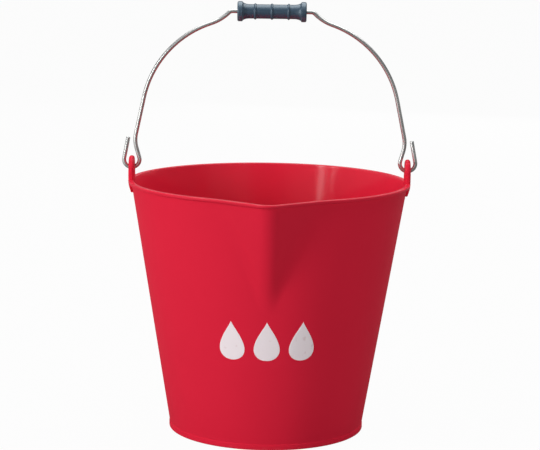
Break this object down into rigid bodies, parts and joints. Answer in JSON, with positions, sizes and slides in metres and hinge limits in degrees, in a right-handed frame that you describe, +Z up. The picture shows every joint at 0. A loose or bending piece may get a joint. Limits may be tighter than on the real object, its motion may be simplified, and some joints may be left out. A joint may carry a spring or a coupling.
{
  "type": "fire bucket",
  "caption": "Rigid tapered moulded fire bucket with a pouring spout, a swinging wire bail hooked through moulded ears, and a ringed grip that turns on the wire.",
  "frame": {"origin": "centre of the foot ring, on the plane that the bucket stands on", "axes": "+Z up towards the mouth, -Y out through the spout, X along the hinge of the bail"},
  "size_m": [0.2938, 0.3073, 0.4274],
  "materials": {
    "body_plastic": "satin",
    "bail_wire": "drawn wire",
    "grip_plastic": "matt"
  },
  "bodies": {
    "bucket": {"bucket": "body_plastic"},
    "bail": {"bail": "bail_wire"},
    "grip": {"grip": "grip_plastic"}
  },
  "joints": [
    {"name": "bail_swing", "type": "hinge", "parent": "bucket", "child": "bail", "pos_m": [0, 0, 0.2615], "axis": [1, 0, 0], "range_deg": [-98.5, 91]},
    {"name": "grip_spin", "type": "hinge", "parent": "bail", "child": "grip", "pos_m": [0, 0, 0.4175], "axis": [1, 0, 0], "continuous": true}
  ]
}
